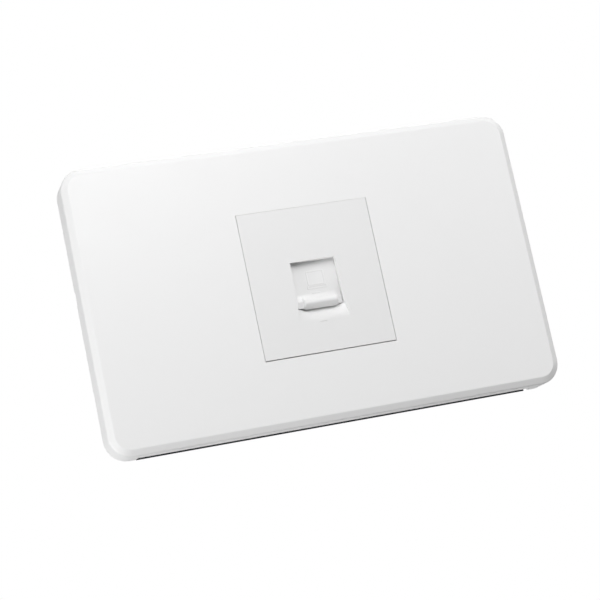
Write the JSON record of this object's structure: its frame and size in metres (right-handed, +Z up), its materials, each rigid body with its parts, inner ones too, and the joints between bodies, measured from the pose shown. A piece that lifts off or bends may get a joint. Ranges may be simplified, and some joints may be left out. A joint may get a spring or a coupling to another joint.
{
  "type": "ethernet wall socket",
  "caption": "White wide wall plate with a flush data socket module, whose port is closed by a sprung sliding dust shutter with a finger lip.",
  "frame": {"origin": "centre of the plate in the wall plane, where the mounting frame's flange meets the wall", "axes": "+X along the plate's length to the right, +Y into the wall, +Z up the wall; the face looks along -Y"},
  "size_m": [0.118, 0.0305, 0.072],
  "materials": {
    "white_plastic": "satin",
    "module_white_plastic": "satin",
    "dark_frame_plastic": "matt",
    "spring_steel": "drawn wire",
    "jack_plastic": "moulded",
    "carrier_plastic": "moulded",
    "gold_plated_bronze": "gold plated",
    "circuit_board_green": "solder resist on glass-filled epoxy",
    "wire_block_plastic": "moulded",
    "tinned_bronze": "tin plated",
    "zinc_plated_steel": "zinc plated"
  },
  "bodies": {
    "socket": {"cover_plate": "white_plastic", "mounting_frame": "dark_frame_plastic", "module_bezel": "module_white_plastic", "shutter_spring_left": "spring_steel", "shutter_spring_right": "spring_steel", "jack_retainer": "module_white_plastic", "jack_housing": "jack_plastic", "contact_carrier": "carrier_plastic", "contact_1": "gold_plated_bronze", "contact_2": "gold_plated_bronze", "contact_3": "gold_plated_bronze", "contact_4": "gold_plated_bronze", "contact_5": "gold_plated_bronze", "contact_6": "gold_plated_bronze", "contact_7": "gold_plated_bronze", "contact_8": "gold_plated_bronze", "circuit_board": "circuit_board_green", "idc_block": "wire_block_plastic", "idc_blade_1": "tinned_bronze", "idc_blade_2": "tinned_bronze", "idc_blade_3": "tinned_bronze", "idc_blade_4": "tinned_bronze", "idc_blade_5": "tinned_bronze", "idc_blade_6": "tinned_bronze", "idc_blade_7": "tinned_bronze", "idc_blade_8": "tinned_bronze", "mounting_screw_left": "zinc_plated_steel", "mounting_screw_right": "zinc_plated_steel"},
    "dust_shutter": {"shutter": "module_white_plastic"}
  },
  "joints": [
    {"name": "shutter_slide", "type": "slide", "parent": "socket", "child": "dust_shutter", "axis": [0, 0, 1], "range_m": [0, 0.0086], "stiffness_N_per_m": 40, "springref_m": -0.004, "deforming": ["shutter_spring_left", "shutter_spring_right"]}
  ]
}
